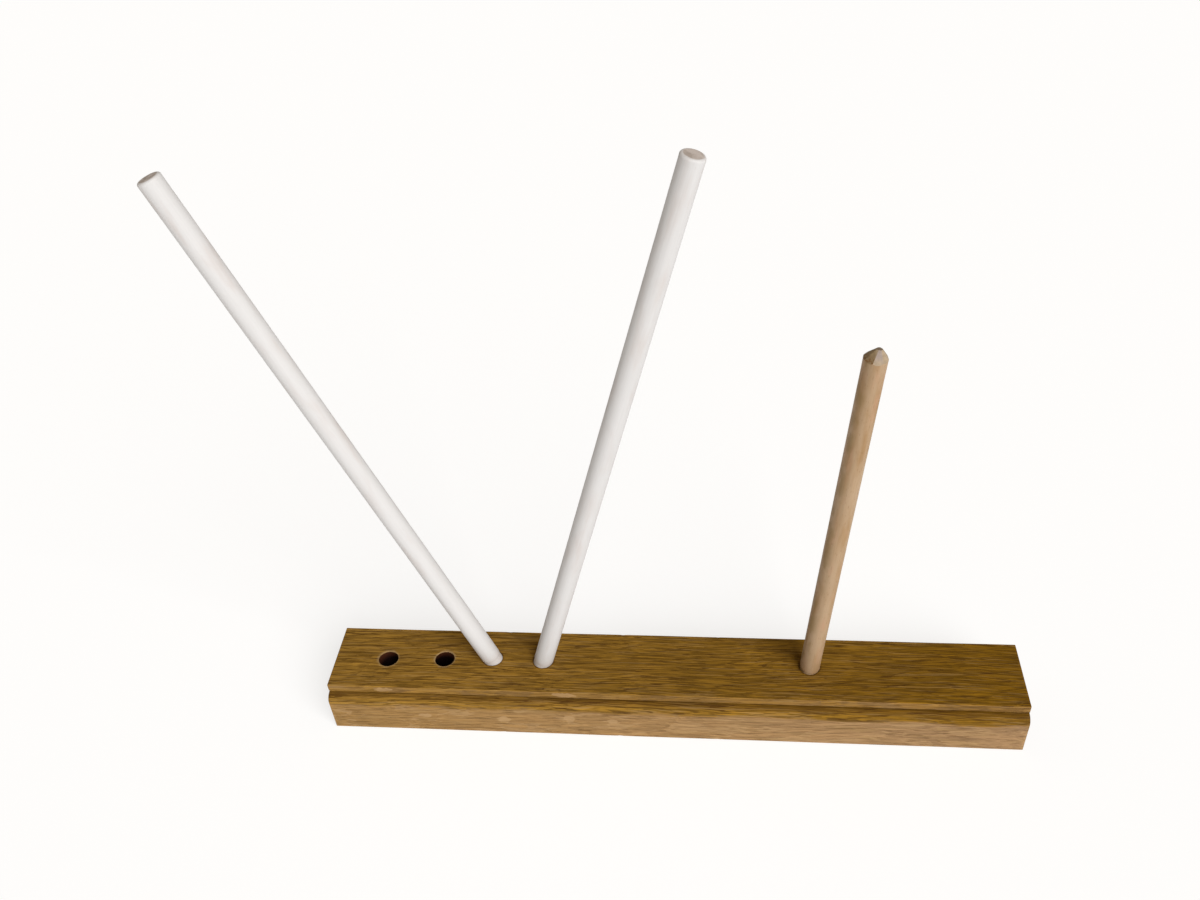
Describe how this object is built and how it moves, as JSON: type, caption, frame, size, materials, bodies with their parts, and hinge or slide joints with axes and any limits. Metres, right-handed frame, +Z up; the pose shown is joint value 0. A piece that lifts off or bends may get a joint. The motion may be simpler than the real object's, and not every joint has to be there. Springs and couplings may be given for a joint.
{
  "type": "dowel loom",
  "caption": "Moulded oak block with a row of angled holes, long white dowels standing in a V and a shorter pointed wooden peg; the dowels and the peg lift out.",
  "frame": {"origin": "centre of the block's flat bottom face, under the middle of its length and of its 43 mm depth", "axes": "+X along the block to the right, seen from its moulded front, with the empty holes on the left; +Y to the plain back; +Z up"},
  "size_m": [0.3678, 0.043, 0.3064],
  "materials": {
    "oak": "oiled, satin",
    "white_dowel": "white, matt",
    "beech": "sanded, matt"
  },
  "bodies": {
    "block": {"base_block": "oak"},
    "left_dowel": {"left_dowel": "white_dowel"},
    "right_dowel": {"right_dowel": "white_dowel"},
    "pointed_peg": {"pointed_peg": "beech"}
  },
  "joints": [
    {"name": "left_dowel_lift", "type": "slide", "parent": "block", "child": "left_dowel", "axis": [-0.3355, 0, 0.9421], "range_m": [0, 0.1]},
    {"name": "right_dowel_lift", "type": "slide", "parent": "block", "child": "right_dowel", "axis": [0.2773, 0, 0.9608], "range_m": [0, 0.1]},
    {"name": "pointed_peg_lift", "type": "slide", "parent": "block", "child": "pointed_peg", "axis": [0.0785, 0, 0.9969], "range_m": [0, 0.1]}
  ]
}
